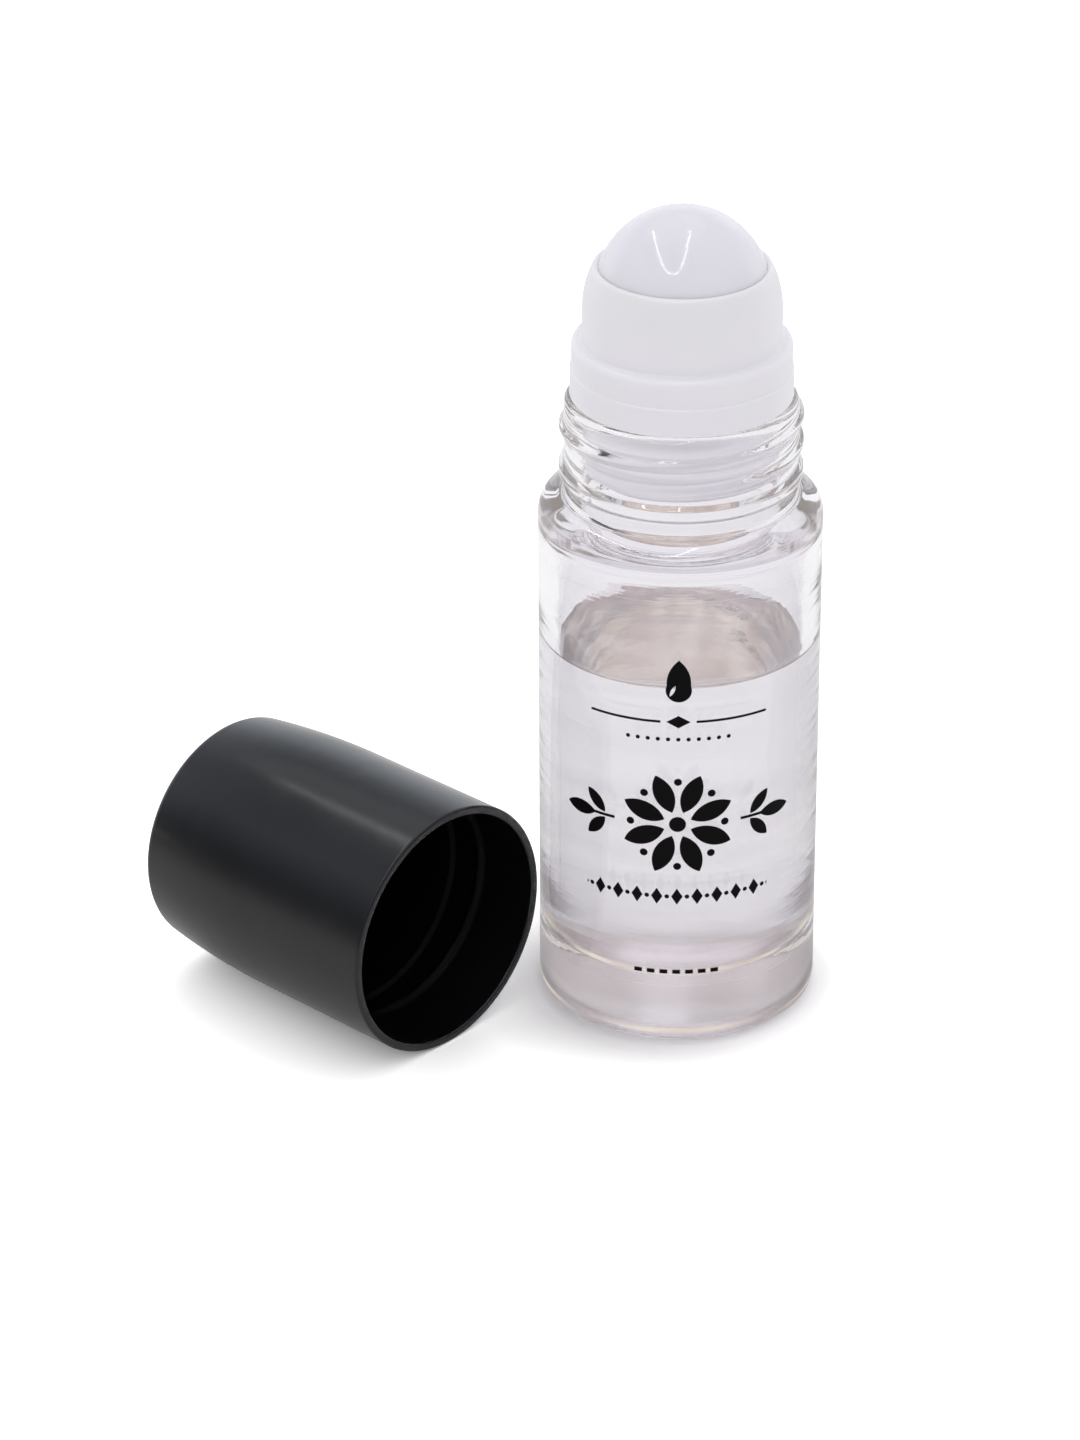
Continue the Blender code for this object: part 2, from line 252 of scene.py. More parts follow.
# %% Build the room
ROOM_LEVEL = 0.98
THROUGH_GLASS = (
    (0.0, (0.36, 0.32, 0.29)),
    (0.14, (0.26, 0.225, 0.20)),
    (0.42, (0.28, 0.24, 0.21)),
    (0.46, (0.80, 0.77, 0.80)),
    (0.50, (0.80, 0.77, 0.80)),
    (0.55, (0.58, 0.49, 0.495)),
    (0.74, (0.57, 0.49, 0.495)),
    (0.84, (0.78, 0.72, 0.75)),
    (0.93, (0.98, 0.96, 1.0)),
)
IN_REFLECTIONS = (
    (0.0, (0.20, 0.20, 0.21)),
    (0.21, (0.17, 0.17, 0.18)),
    (0.38, (0.30, 0.31, 0.33)),
    (0.60, (0.56, 0.59, 0.63)),
    (0.80, (0.42, 0.44, 0.47)),
    (1.0, (0.45, 0.47, 0.50)),
)
BEHIND_IN_REFLECTIONS = (
    (0.0, (1.0, 1.06, 1.14)),
    (0.30, (1.0, 1.06, 1.14)),
    (0.55, (0.56, 0.59, 0.63)),
    (0.80, (0.42, 0.44, 0.47)),
)
BEHIND = (-0.66, 0.751, 0)
BACK_MIRRORED = (0.1, 0.5)
GAP_ACROSS = (0.788, 0.616, 0)
GAP_SIDES = (0.13, 0.10)
GAP_BACK = (0.5, 0.6)
GAP_TOP = (0.46, 0.42)
GAP_COLOUR = (0.85, 0.82, 0.86)
UNEVEN_SCALE = 2.6
UNEVEN_LOW = 0.7
UNEVEN_SPREAD = 0.6


def ray(finish, kind):
    """1 for a ray of that kind: Camera, Glossy or Transmission."""
    return finish.node("ShaderNodeLightPath", output=f"Is {kind} Ray")


def looked(finish, kind):
    """1 for a ray of that kind that has met no matt surface on its way from the camera."""
    scattered = finish.node("ShaderNodeLightPath", output="Diffuse Depth").clamped()
    return ray(finish, kind) * (1 - scattered)


room = Finish("white_room", world=True)
bpy.context.scene.world = room.material
direction = room.node("ShaderNodeTexCoord", output="Generated")
rise = room.node("ShaderNodeSeparateXYZ", inputs={"Vector": direction}, output="Z")
through = room.node("ShaderNodeValToRGB", {"stops": THROUGH_GLASS}, {"Fac": rise})
in_front = room.node("ShaderNodeValToRGB", {"stops": IN_REFLECTIONS}, {"Fac": rise})
at_back = room.node("ShaderNodeValToRGB", {"stops": BEHIND_IN_REFLECTIONS}, {"Fac": rise})
backward = room.vector("DOT_PRODUCT", direction, BEHIND)
aside = abs(room.vector("DOT_PRODUCT", direction, GAP_ACROSS))
gap = aside.ramp(*GAP_SIDES) * backward.ramp(*GAP_BACK) * rise.ramp(*GAP_TOP)
through = room.blend(gap, through, GAP_COLOUR)
mirrored = room.blend(backward.ramp(*BACK_MIRRORED), in_front, at_back)
glossy, transmitted = looked(room, "Glossy"), looked(room, "Transmission")
shown = room.blend(glossy, (1, 1, 1), mirrored)
shown = room.blend(transmitted, shown, through)
looked_at = (glossy + transmitted).clamped()
uneven = UNEVEN_LOW + UNEVEN_SPREAD * room.noise(UNEVEN_SCALE, detail=2, at=direction)
even = ROOM_LEVEL + (1 - ROOM_LEVEL) * ray(room, "Camera")
strength = even * (1 - looked_at) + uneven * looked_at
room.shows(room.node("ShaderNodeBackground", inputs={"Color": shown, "Strength": strength}))
room_ramps = (THROUGH_GLASS, IN_REFLECTIONS, BEHIND_IN_REFLECTIONS)
print("stops in the room's ramps:", [len(stops) for stops in room_ramps])

# %% [markdown]
# The sheet under the set is nearly white and matt. The picture was brightened until its ground was
# pure white, so the camera's own rays see a paper nearly twice as bright, which leaves only the
# close shadows. That lights nothing. Close round the bottle's foot the brightening fades out into
# a painted shadow, because clear glass hardly shades the paper here. A gloss sees a dull table in
# front and at the sides, and plain paper behind. Glass shows plain paper with two things painted
# on it. In front of the foot a painted pool of warm light stands for the light that the glass
# gathers, which a renderer finds only with very many samples, and a beige card stands for what the
# shoulder's left side shows.

# %% Lay the white sheet
SHEET_WHITE = 0.9
SHEET_GRAIN = 0.01
GRAIN_SCALE = 40
SHEET_ROUGH = 0.9
SHEET_FOR_CAMERA = (1.75, 1.75, 1.75)
# Round the bottle's foot the camera's paper is kept darker: a painted shadow.
SHEET_IN_PAINTED_SHADOW = (0.86, 0.845, 0.845)
PAINTED_SHADOW_RADIUS = 0.0217
PAINTED_SHADOW_PLACE = bottle_axis + Vector((-0.3, -1.3, 0)) * MM
PAINTED_SHADOW_SOFT = 0.010
SHEET_IN_GLASS = 0.05
SHEET_SIZE = 4.0
SHEET_EDGE = 0.10
TABLE_EDGE = 0.26
TABLE = (0.36, 0.34, 0.33, 1)
DULL_NEAR = 0.45
DULL_ENDS = (0.08, 0.03)
FOOT_PLACE = bottle_axis + Vector((9, -10.5, 0)) * MM
FOOT_DEEP = (0.73, 0.62, 0.51)
FOOT_PALE = (1.03, 0.94, 0.81)
FOOT_RADIUS = 0.028
FOOT_SOFT = 0.008
GATHERED_SCALE = 170
GATHERED_STRETCH = (1, 0.3, 1)
GATHERED_CONTRAST = 5
CARD_PLACE = Vector((-0.215, 0.115, 0))
CARD = (0.26, 0.22, 0.19, 1)
CARD_RADIUS = 0.068
CARD_SOFT = 0.02

sheet = Finish("studio_sheet")
paper = sheet.blend(
    sheet.noise(GRAIN_SCALE), (SHEET_WHITE - SHEET_GRAIN,) * 3, (SHEET_WHITE + SHEET_GRAIN,) * 3)


def laid_over(under, factor, over):
    return sheet.node("ShaderNodeMixShader", inputs={0: factor, 1: under, 2: over})


def flat_light(colour):
    return sheet.node("ShaderNodeEmission", inputs={"Color": colour})


def round_patch(centre, radius, soft):
    """1 near a place on the sheet, and 0 outside a soft edge."""
    away = sheet.vector("DISTANCE", sheet.place(), centre)
    return away.ramp(radius + soft / 2, radius - soft / 2)


glossy, transmitted = looked(sheet, "Glossy"), looked(sheet, "Transmission")
# Painted shadow: close round the bottle's foot the camera sees the paper darker.
painted_shadow_at_foot = round_patch(PAINTED_SHADOW_PLACE, PAINTED_SHADOW_RADIUS, PAINTED_SHADOW_SOFT)
brightening = sheet.node("ShaderNodeMix", {"data_type": "VECTOR"},
                         {"Factor": painted_shadow_at_foot, 4: SHEET_FOR_CAMERA, 5: SHEET_IN_PAINTED_SHADOW}, output=1)
bright_paper = sheet.node("ShaderNodeVectorMath", {"operation": "MULTIPLY"},
                          {0: paper, 1: brightening})
plain = sheet.plastic(Base_Color=paper, Roughness=SHEET_ROUGH, Specular_IOR_Level=0.0)
for_camera = sheet.node("ShaderNodeBsdfDiffuse", inputs={"Color": bright_paper})
in_glass = sheet.plastic(Base_Color=paper, Roughness=SHEET_ROUGH, Specular_IOR_Level=0.0,
                         Emission_Color=(1, 1, 1, 1), Emission_Strength=SHEET_IN_GLASS)
look = laid_over(plain, ray(sheet, "Camera"), for_camera)
look = laid_over(look, transmitted, in_glass)
beyond = sheet.vector("LENGTH", sheet.place()).ramp(SHEET_EDGE, TABLE_EDGE)
to_back = sheet.vector("DOT_PRODUCT", sheet.place(), BEHIND)
dull = (DULL_NEAR + (1 - DULL_NEAR) * beyond) * to_back.ramp(*DULL_ENDS)
look = laid_over(look, dull * glossy * (1 - transmitted), flat_light(TABLE))
on_card = round_patch(CARD_PLACE, CARD_RADIUS, CARD_SOFT)
look = laid_over(look, on_card * transmitted, flat_light(CARD))
along_view = sheet.node("ShaderNodeMapping", inputs={
    "Vector": sheet.place(), "Rotation": (0, 0, -VIEW_TURN), "Scale": GATHERED_STRETCH})
gathered = sheet.noise(GATHERED_SCALE, detail=1, at=along_view).contrast(GATHERED_CONTRAST)
foot_light = flat_light(sheet.blend(gathered, FOOT_DEEP, FOOT_PALE))
by_foot = round_patch(FOOT_PLACE, FOOT_RADIUS, FOOT_SOFT)
sheet.shows(laid_over(look, by_foot * transmitted, foot_light))

half = SHEET_SIZE / 2
sheet_corners = [(-half, -half, 0), (half, -half, 0), (half, half, 0), (-half, half, 0)]
sheet_mesh = bpy.data.meshes.new("studio_sheet")
sheet_mesh.from_pydata(sheet_corners, [], [(0, 1, 2, 3)])
sheet_mesh.materials.append(sheet.material)
sheet_object = bpy.data.objects.new("studio_sheet", sheet_mesh)
bpy.context.scene.collection.objects.link(sheet_object)
print("sheet", SHEET_SIZE, "m across")

# %% [markdown]
# A large softbox above and behind the set adds a little direction, as the short shadows towards
# the viewer show. A second, slim lamp only shows as a highlight: the bright loop on the ball is
# the mirror image of a curved tube overhead. Each of its points was found by following the
# camera's ray to the ball and on along its reflection. Light may take many steps here, because
# inside thick glass it turns back and forth more than a dozen times. It also stays sharp after a
# matt surface: the usual blur there would make the housing's plug grey behind the glass.

# %% Light the set
SOFTBOX_PLACE = Vector((-80, 420, 900)) * MM
SOFTBOX_SIZE = 0.8
SOFTBOX_WATTS = 0.8
SOFTBOX_AIM = bottle_axis + Vector((0, 0, 40)) * MM
LIGHT_STEPS = 32
TUBE_DISTANCE = 1.3
TUBE_RADIUS = 0.02
TUBE_LIGHT = 9
TUBE_DIRECTIONS = (
    (-0.65, 0.08, 0.76),
    (-0.44, -0.21, 0.87),
    (-0.24, -0.43, 0.87),
    (-0.05, -0.59, 0.81),
    (0.14, -0.67, 0.73),
    (0.29, -0.65, 0.70),
    (0.37, -0.54, 0.76),
    (0.33, -0.37, 0.87),
    (0.23, -0.17, 0.96),
    (0.07, 0.06, 1.0),
    (-0.14, 0.33, 0.93),
)
ball_low, ball_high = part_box("roller_ball")
BALL_HEIGHT = (ball_high.z + ball_low.z) / 2
ball_middle = bottle_axis + Vector((0, 0, BALL_HEIGHT))


def light_tube():
    """A glowing tube that only mirrors in glossy surfaces."""
    glow = Finish("tube_glow")
    glow.shows(glow.node("ShaderNodeEmission", inputs={"Strength": TUBE_LIGHT}))
    curve = bpy.data.curves.new("light_tube", "CURVE")
    curve.dimensions = "3D"
    curve.bevel_depth = TUBE_RADIUS
    spline = curve.splines.new("NURBS")
    spline.points.add(len(TUBE_DIRECTIONS) - 1)
    for point, way in zip(spline.points, TUBE_DIRECTIONS):
        point.co = (*(ball_middle + Vector(way) * TUBE_DISTANCE), 1)
    spline.order_u = 3
    spline.use_endpoint_u = True
    curve.materials.append(glow.material)
    tube = bpy.data.objects.new("light_tube", curve)
    bpy.context.scene.collection.objects.link(tube)
    tube.visible_camera = tube.visible_diffuse = False
    tube.visible_transmission = tube.visible_shadow = False


light_tube()


def softbox(name, place, size, watts):
    """A square lamp that faces the bottle's middle, placed as the camera sees the set."""
    lamp_data = bpy.data.lights.new(name, "AREA")
    lamp_data.shape = "SQUARE"
    lamp_data.size = size
    lamp_data.energy = watts
    lamp = bpy.data.objects.new(name, lamp_data)
    bpy.context.scene.collection.objects.link(lamp)
    lamp.location = as_seen @ place
    aim = SOFTBOX_AIM - lamp.location
    lamp.rotation_euler = aim.to_track_quat("-Z", "Y").to_euler()
    return lamp


softbox("back_softbox", SOFTBOX_PLACE, SOFTBOX_SIZE, SOFTBOX_WATTS)
cycles = bpy.context.scene.cycles
cycles.max_bounces = cycles.transmission_bounces = cycles.glossy_bounces = LIGHT_STEPS
cycles.blur_glossy = 0

# %% [markdown]
# Nearly everything here is a body of revolution, made the way a lathe or a round mould makes it:
# an outline of (radius, height) points is spun once round an axis. Corners carry a fillet radius.
# Long straight stretches get extra points near their ends, so that smooth shading doesn't bend the
# flat parts beside a fillet.

# %% Spin outlines into pieces
ROUND_STEPS = 160
FILLET_STEP = math.radians(15)
SUPPORT = 0.2 * MM
LONG_STEP = 3 * MM
SHARP_ANGLE = math.radians(40)
MERGE_DISTANCE = 0.001 * MM


def rounded(corners):
    """Give each (radius, height, fillet) corner its fillet."""
    points = []
    for i, (radius, height, fillet) in enumerate(corners):
        corner = Vector((radius, height))
        if not fillet:
            points.append(corner)
            continue
        before = Vector(corners[i - 1][:2]) - corner
        after = Vector(corners[(i + 1) % len(corners)][:2]) - corner
        half_angle = before.angle(after) / 2
        middle = (before.normalized() + after.normalized()).normalized()
        centre = corner + middle * fillet / math.sin(half_angle)
        reach = fillet / math.tan(half_angle)
        start = corner + before.normalized() * reach - centre
        end = corner + after.normalized() * reach - centre
        sweep = start.angle_signed(end)
        steps = max(2, math.ceil(abs(sweep) / FILLET_STEP))
        for k in range(steps + 1):
            spoke = start.copy()
            spoke.rotate(Matrix.Rotation(-sweep * k / steps, 2))
            points.append(centre + spoke)
    return points


def supported(points, closed=False, long_step=LONG_STEP):
    """Split long stretches, with a point close to each of their ends."""
    result = []
    ends = points[1:] + points[:1] if closed else points[1:]
    for start, end in zip(points, ends):
        result.append(start)
        span = (end - start).length
        if span > 4 * SUPPORT:
            inner = span - 2 * SUPPORT
            count = math.ceil(inner / long_step)
            for k in range(count + 1):
                result.append(start.lerp(end, (SUPPORT + inner * k / count) / span))
    if not closed:
        result.append(points[-1])
    return result


def new_piece(name, bm, finish):
    """Turn a bmesh into a smooth-shaded object with its faces out."""
    bmesh.ops.remove_doubles(bm, verts=bm.verts, dist=MERGE_DISTANCE)
    bmesh.ops.recalc_face_normals(bm, faces=bm.faces)
    mesh = bpy.data.meshes.new(name)
    bm.to_mesh(mesh)
    bm.free()
    mesh.shade_smooth()
    mesh.set_sharp_from_angle(angle=SHARP_ANGLE)
    mesh.materials.append(finish)
    piece = bpy.data.objects.new(name, mesh)
    bpy.context.scene.collection.objects.link(piece)
    print(name, len(mesh.polygons), "faces")
    return piece


def turned(name, points, finish, closed=False, steps=ROUND_STEPS, shape=None):
    """Spin an outline round the Z axis.

    shape(angle, radius, height) may give each point a new radius and height.
    """
    bm = bmesh.new()
    verts = [bm.verts.new((r, 0, z)) for r, z in points]
    pairs = zip(verts, verts[1:] + verts[:1] if closed else verts[1:])
    edges = [bm.edges.new(pair) for pair in pairs]
    bmesh.ops.spin(bm, geom=verts + edges, cent=(0, 0, 0), axis=(0, 0, 1),
                   angle=2 * math.pi, steps=steps, use_merge=True)
    if shape:
        for vert in bm.verts:
            angle = math.atan2(vert.co.y, vert.co.x)
            radius, height = shape(angle, math.hypot(vert.co.x, vert.co.y), vert.co.z)
            vert.co = (radius * math.cos(angle), radius * math.sin(angle), height)
    return new_piece(name, bm, finish)


def arc(centre_height, radius, start, end, steps):
    """Points of a circle about (0, centre_height), between two angles above the horizontal."""
    angles = [start + (end - start) * k / steps for k in range(steps + 1)]
    return [Vector((radius * math.cos(a), centre_height + radius * math.sin(a))) for a in angles]


def settle(piece, node, body, turn=None, place=None):
    """Put a piece in its place and let it stand for its CAD node."""
    piece.location = place if place is not None else bottle_axis
    if turn:
        piece.rotation_euler = turn
    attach(piece, body)
    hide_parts(node)
    return piece


print("outline helpers ready")

# %% [markdown]
# A screw thread on moulded glass is a low, rounded ridge that climbs the neck. It could be a
# separate coil laid on the neck, but glass is one body, and a coil would show its own inner
# surface. So the ridge is raised from the neck's own surface: each point moves out by how near it
# is to the helix, and the ridge fades in and out at its ends. The wall needs points close together
# for that, and the cap's inner thread is made the same way.

# %% Shape the thread's ridge
THREAD_PITCH = 3.5 * MM
THREAD_START_HEIGHT = 74.6 * MM
THREAD_START_ANGLE = math.radians(-83.7)
THREAD_TURNS = 1.5
THREAD_HEIGHT = 0.65 * MM
THREAD_HALF_WIDTH = 1.25 * MM
THREAD_FADE = 0.18
THREAD_ROW = 0.2 * MM
THREADED_STEPS = 192


def ridge(angle, height, start_angle, start_height, turns, rise, half_width):
    """How far the ridge stands out at one point of the wall."""
    best = 0
    first = (angle - start_angle) / (2 * math.pi) % 1
    for lap in range(math.ceil(turns) + 1):
        along = first + lap
        if along > turns:
            break
        away = abs(height - start_height - THREAD_PITCH * along) / half_width
        if away < 1:
            fade = min(1, along / THREAD_FADE, (turns - along) / THREAD_FADE)
            crown = 0.5 + 0.5 * math.cos(math.pi * away)
            best = max(best, rise * crown * math.sin(math.pi / 2 * fade))
    return best


def wall_points(radius, start, end, first=1):
    """Points along a straight wall, close enough together to raise a thread from it."""
    rows = math.ceil(abs(end - start) / THREAD_ROW)
    return [Vector((radius, start + (end - start) * k / rows)) for k in range(first, rows)]


print("thread pitch", THREAD_PITCH / MM, "mm,", THREAD_TURNS, "turns")

# %% [markdown]
# The bottle is thick moulded glass: a heavy base with a push-up and a foot ring, a round shoulder,
# and a neck with a bead, a thread and a rounded rim. Blown glass is never quite even inside, so
# the inner wall is waved by a tenth of a millimetre. That is what draws the faint level streaks in
# the photograph. The glass itself is a Principled shader with full transmission and a slight lilac
# tint. Level cords, the streaks of uneven glass, run round it, its foot is stippled, and hands
# have left a touch of roughness.

# %% Make the glass finish
GLASS_TINT = (0.89, 0.88, 0.915)
GLASS_PALE = (0.965, 0.96, 0.98)
GLASS_IOR = 1.5
GLASS_ROUGH = 0.004
SMUDGE_SCALE = 120
SMUDGE_EDGE = (0.55, 0.55 + 1 / 6)
SMUDGE_ROUGH = 0.03
CORD_SCALE = 100
CORD_STRETCH = (0.18, 0.18, 5)
CORD_CONTRAST = 2.6
CORD_BUMP = 0.12
CORD_DEPTH = 0.15 * MM
STIPPLE_EDGE = (9.5 * MM, 7.5 * MM)
STIPPLE_ROUGH = 0.2

glass = Finish("bottle_glass")
handled = glass.noise(SMUDGE_SCALE, detail=4).ramp(*SMUDGE_EDGE)
cords = glass.noise(CORD_SCALE, at=glass.stretched(CORD_STRETCH)).contrast(CORD_CONTRAST)
stippled = glass.height().ramp(*STIPPLE_EDGE)
glass.shows(glass.plastic(
    Base_Color=glass.blend(cords, GLASS_TINT, GLASS_PALE),
    Roughness=GLASS_ROUGH + SMUDGE_ROUGH * handled + STIPPLE_ROUGH * stippled,
    IOR=GLASS_IOR,
    Transmission_Weight=1.0,
    Normal=glass.bump(cords, CORD_BUMP, CORD_DEPTH),
))
print("glass finish ready")

# %% [markdown]
# The bottle's outline climbs the outside, goes over the rim and comes down inside, as one wall of
# glass with its real thickness. Only through such a closed body does light bend as it should. Each
# corner has a radius, a height and a fillet, as on a mould maker's drawing. After the spin the
# inner wall is waved and the thread is raised.

# %% Turn the glass bottle
BODY_RADIUS = (glass_high.x - glass_low.x) / 2
RIM_HEIGHT = glass_high.z
SHOULDER_HEIGHT = 68.8 * MM
BODY_WALL = 2.3 * MM
INNER_RADIUS = BODY_RADIUS - BODY_WALL
INNER_SHOULDER = SHOULDER_HEIGHT - 3.2 * MM
BASE_THICKNESS = 7.3 * MM
INNER_BASE_RADIUS = 6 * MM
PUSH_UP = 0.9 * MM
FOOT_INSIDE = BODY_RADIUS - 4 * MM
NECK_RADIUS = 14.3 * MM
NECK_BORE = 12.1 * MM
BEAD_HEIGHT = 0.65 * MM
BEAD_LOW = SHOULDER_HEIGHT + 2.0 * MM
BEAD_HIGH = BEAD_LOW + 2.4 * MM
RIM_FILLET = 1.1 * MM
WAVE_DEPTH = 0.11 * MM
WAVES = ((0.6, 0.5, 0.33, 0), (1.0, 1.2, 0.09, 7))  # share, detail round, detail up, shift
WAVE_REACH = 2 * MM
WAVED_STEP = 1.5 * MM


def wave(angle, height):
    """How uneven the inner wall is at one point."""
    total = 0
    for share, around, upward, shift in WAVES:
        level = height / MM * upward + shift
        spot = Vector((math.cos(angle) * around, math.sin(angle) * around, level))
        total += share * noise.noise(spot)
    return WAVE_DEPTH * total


def waved_inside(radius, height):
    """True on the inner wall, away from its ends."""
    on_wall = INNER_RADIUS - WAVE_REACH < radius < INNER_RADIUS + WAVE_DEPTH
    return on_wall and BASE_THICKNESS < height < INNER_SHOULDER


def glass_shape(angle, radius, height):
    if waved_inside(radius, height):
        radius += wave(angle, height)
    elif radius > NECK_BORE + MM and BEAD_HIGH < height < RIM_HEIGHT:
        radius += ridge(angle, height, THREAD_START_ANGLE, THREAD_START_HEIGHT,
                        THREAD_TURNS, THREAD_HEIGHT, THREAD_HALF_WIDTH)
    return radius, height


lower = supported(rounded([
    (0, PUSH_UP, 0),
    (FOOT_INSIDE - PUSH_UP, PUSH_UP, 1.5 * MM),
    (FOOT_INSIDE, 0, 0.3 * MM),
    (BODY_RADIUS, 0, 1.6 * MM),
    (BODY_RADIUS, SHOULDER_HEIGHT, 2.8 * MM),
    (NECK_RADIUS, SHOULDER_HEIGHT, 0.6 * MM),
    (NECK_RADIUS, BEAD_LOW, 0.4 * MM),
    (NECK_RADIUS + BEAD_HEIGHT, BEAD_LOW + BEAD_HEIGHT, 0.6 * MM),
    (NECK_RADIUS + BEAD_HEIGHT, BEAD_HIGH - BEAD_HEIGHT, 0.6 * MM),
    (NECK_RADIUS, BEAD_HIGH, 0.4 * MM),
    (NECK_RADIUS, RIM_HEIGHT, 0),
])[:-1])
neck_top = RIM_HEIGHT - RIM_FILLET
threaded = wall_points(NECK_RADIUS, BEAD_HIGH, neck_top, first=2)
upper = supported(rounded([
    (NECK_RADIUS, neck_top - MM, 0),
    (NECK_RADIUS, RIM_HEIGHT, RIM_FILLET),
    (NECK_BORE, RIM_HEIGHT, 0.6 * MM),
    (NECK_BORE, INNER_SHOULDER, 1.2 * MM),
    (INNER_RADIUS, INNER_SHOULDER, 2.2 * MM),
    (INNER_RADIUS, BASE_THICKNESS, INNER_BASE_RADIUS),
    (0, BASE_THICKNESS, 0),
])[1:], long_step=WAVED_STEP)
bottle = turned("bottle_glass", lower + threaded + upper, glass.material,
                shape=glass_shape, steps=THREADED_STEPS)
settle(bottle, "glass_bottle", "bottle")

# %% [markdown]
# The adhesive is a clear liquid with a faint warm tint, up to about two thirds of the body. If its
# side stopped short of the glass, the thin air gap would mirror the light and look silvery. So the
# liquid reaches a hair into the glass, which is the usual way to render a filled vessel. Its top
# curls up where it wets the wall.

# %% Fill the bottle
FILL_LEVEL = 49 * MM
FILL_OVERLAP = 0.04 * MM
CURL_HEIGHT = 0.8 * MM
CURL_WIDTH = 0.7 * MM
LIQUID_DEEP = (0.935, 0.925, 0.925)
LIQUID_PALE = (0.955, 0.945, 0.945)
LIQUID_IOR = 1.38
LIQUID_ROUGH = 0.002
LIQUID_CLOUD = 90
CLOUD_ROUGH = 0.004
LIQUID_STEPS = 128
SURFACE_STEPS = 24
SIDE_ROWS = range(15, 49)

adhesive = Finish("adhesive_liquid")
cloud = adhesive.noise(LIQUID_CLOUD, detail=2)
adhesive.shows(adhesive.plastic(
    Base_Color=adhesive.blend(cloud, LIQUID_DEEP, LIQUID_PALE),
    Roughness=LIQUID_ROUGH + CLOUD_ROUGH * cloud,
    IOR=LIQUID_IOR,
    Transmission_Weight=1.0,
))


def liquid_shape(angle, radius, height):
    """The liquid's side follows the waves of the wall."""
    if waved_inside(radius - FILL_OVERLAP, height):
        radius += wave(angle, height)
    return radius, height


wet_radius = INNER_RADIUS + FILL_OVERLAP
wet_bottom = BASE_THICKNESS - FILL_OVERLAP
under = supported(rounded([
    (0, wet_bottom, 0),
    (wet_radius, wet_bottom, INNER_BASE_RADIUS + FILL_OVERLAP),
    (wet_radius, FILL_LEVEL + CURL_HEIGHT, 0),
])[:-1], long_step=WAVED_STEP)
wet_side = [Vector((wet_radius, height * MM)) for height in SIDE_ROWS]
surface = []
for k in range(SURFACE_STEPS):
    radius = wet_radius * (1 - (k / SURFACE_STEPS) ** 2)
    curl = CURL_HEIGHT * math.exp((radius - wet_radius) / CURL_WIDTH)
    surface.append(Vector((radius, FILL_LEVEL + curl)))
surface.append(Vector((0, FILL_LEVEL)))
liquid = turned("adhesive_liquid", under + wet_side + surface, adhesive.material,
                shape=liquid_shape, steps=LIQUID_STEPS)
settle(liquid, "adhesive_fill", "bottle")

# %% [markdown]
# The ball housing is one moulding in natural polypropylene, milky and a little see-through. Its
# plug with three sealing ribs shows through the glass of the neck. Above the rim come the stepped
# collar and the domed lip that holds the ball. The same outline is used as in the solid, with more
# steps. Light sinks a little way into such plastic, which Principled's subsurface gives, and a
# fine bump stands for the mould's satin surface. Below the rim the plug's wall is thin, and there
# its colour is painted paler, as painted light that makes up for light lost on the way through the
# glass, with darker painted level lines for the streaks that the glass in front draws on it.

# %% Make the milky plastics
HOUSING_MILKY = (0.775, 0.762, 0.805)
BALL_MILKY = (0.735, 0.72, 0.775)
MILKY_SPREAD = 1.03
CLOUD_SCALE = 110
MILKY_IOR = 1.49
SINK = 1.5 * MM
SINK_COLOURS = (1.0, 1.0, 1.05)
FINE_ROUGH = 0.04
FINE_BUMP = 0.06
FINE_DEPTH = 0.03 * MM
# Painted light and painted level lines for the plug below the rim, seen through the glass.
PLUG_LINE_SHADE = (0.76, 0.735, 0.75)
PLUG_PAINTED_LIGHT = (0.96, 0.945, 0.97)
PAINTED_LIGHT_FADE = 0.4 * MM
LINE_SCALE = 100
LINE_STRETCH = (0.2, 0.2, 9)
LINE_CONTRAST = 3


def milky_plastic(name, colour, roughness, grain_size, sunk, painted_below=None):
    """Natural polypropylene: milky, softly glossy, faintly cloudy; painted light and streaks low
    down.
    """
    finish = Finish(name)
    fine = finish.noise(grain_size)
    lighter = tuple(c * MILKY_SPREAD for c in colour)
    tint = finish.blend(finish.noise(CLOUD_SCALE, detail=2), colour, lighter)
    # Below the given height the colour is painted paler, as painted light, with darker painted
    # level lines for the glass's streaks.
    if painted_below:
        lines = finish.noise(LINE_SCALE, at=finish.stretched(LINE_STRETCH)).contrast(LINE_CONTRAST)
        thin = finish.height().ramp(painted_below, painted_below - PAINTED_LIGHT_FADE)
        tint = finish.blend(thin, tint, finish.blend(lines, PLUG_LINE_SHADE, PLUG_PAINTED_LIGHT))
    return finish.shows(finish.plastic(
        Base_Color=tint,
        Roughness=roughness + FINE_ROUGH * fine,
        IOR=MILKY_IOR,
        Subsurface_Weight=sunk,
        Subsurface_Radius=SINK_COLOURS,
        Subsurface_Scale=SINK,
        Normal=finish.bump(fine, FINE_BUMP, FINE_DEPTH),
    ))


housing_plastic = milky_plastic("housing_plastic", HOUSING_MILKY, roughness=0.30, grain_size=2200,
                                sunk=0.35, painted_below=RIM_HEIGHT)
ball_plastic = milky_plastic("ball_plastic", BALL_MILKY, roughness=0.07, grain_size=1500, sunk=0.7)
print("milky plastics ready")

# %% [markdown]
# The housing's outline runs once round its section: up the socket, over the lip, down the dome and
# the collar, along the plug's ribs, round its foot, and back under the cup. The lip bends in until
# it all but touches the ball, which it holds in.

